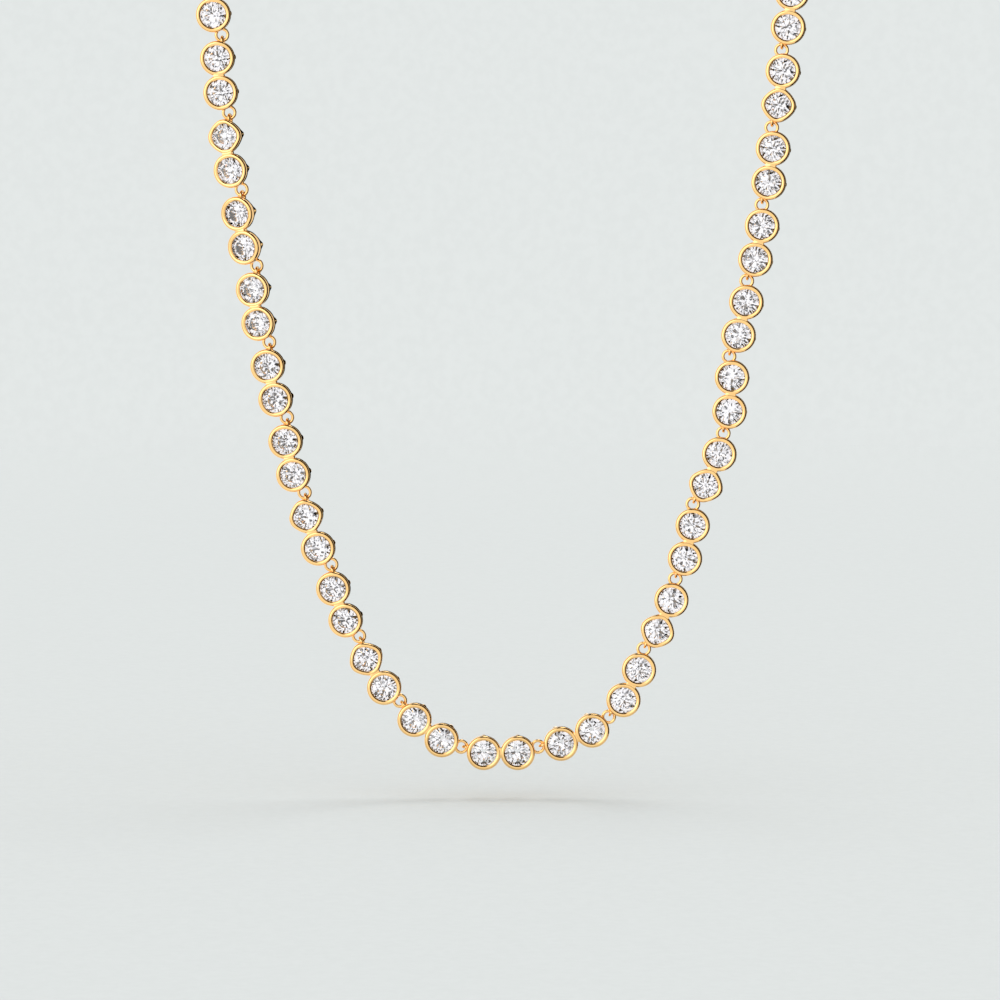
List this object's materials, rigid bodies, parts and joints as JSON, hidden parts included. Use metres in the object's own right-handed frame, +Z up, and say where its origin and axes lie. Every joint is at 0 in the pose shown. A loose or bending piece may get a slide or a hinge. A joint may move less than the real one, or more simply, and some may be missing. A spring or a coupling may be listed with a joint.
{
  "type": "riviere necklace",
  "caption": "Riviere necklace of round brilliants in soldered pairs of round bezels, joined by rings and eyes into a closed loop with a plain clasp, in the form in which it hangs when worn.",
  "frame": {"origin": "nape: the middle of the clasp's inner face, where the necklace rests on the back of the neck", "axes": "+Z up, the front of the necklace faces -Y, +X is to the right in the reference view"},
  "size_m": [0.0824, 0.0704, 0.13],
  "materials": {
    "gold": "polished yellow gold plate",
    "stone": "clear, cut and polished"
  },
  "bodies": {
    "root": {"settings_left": "gold", "settings_right": "gold", "stones_left": "stone", "stones_right": "stone", "clasp": "gold"}
  },
  "joints": []
}
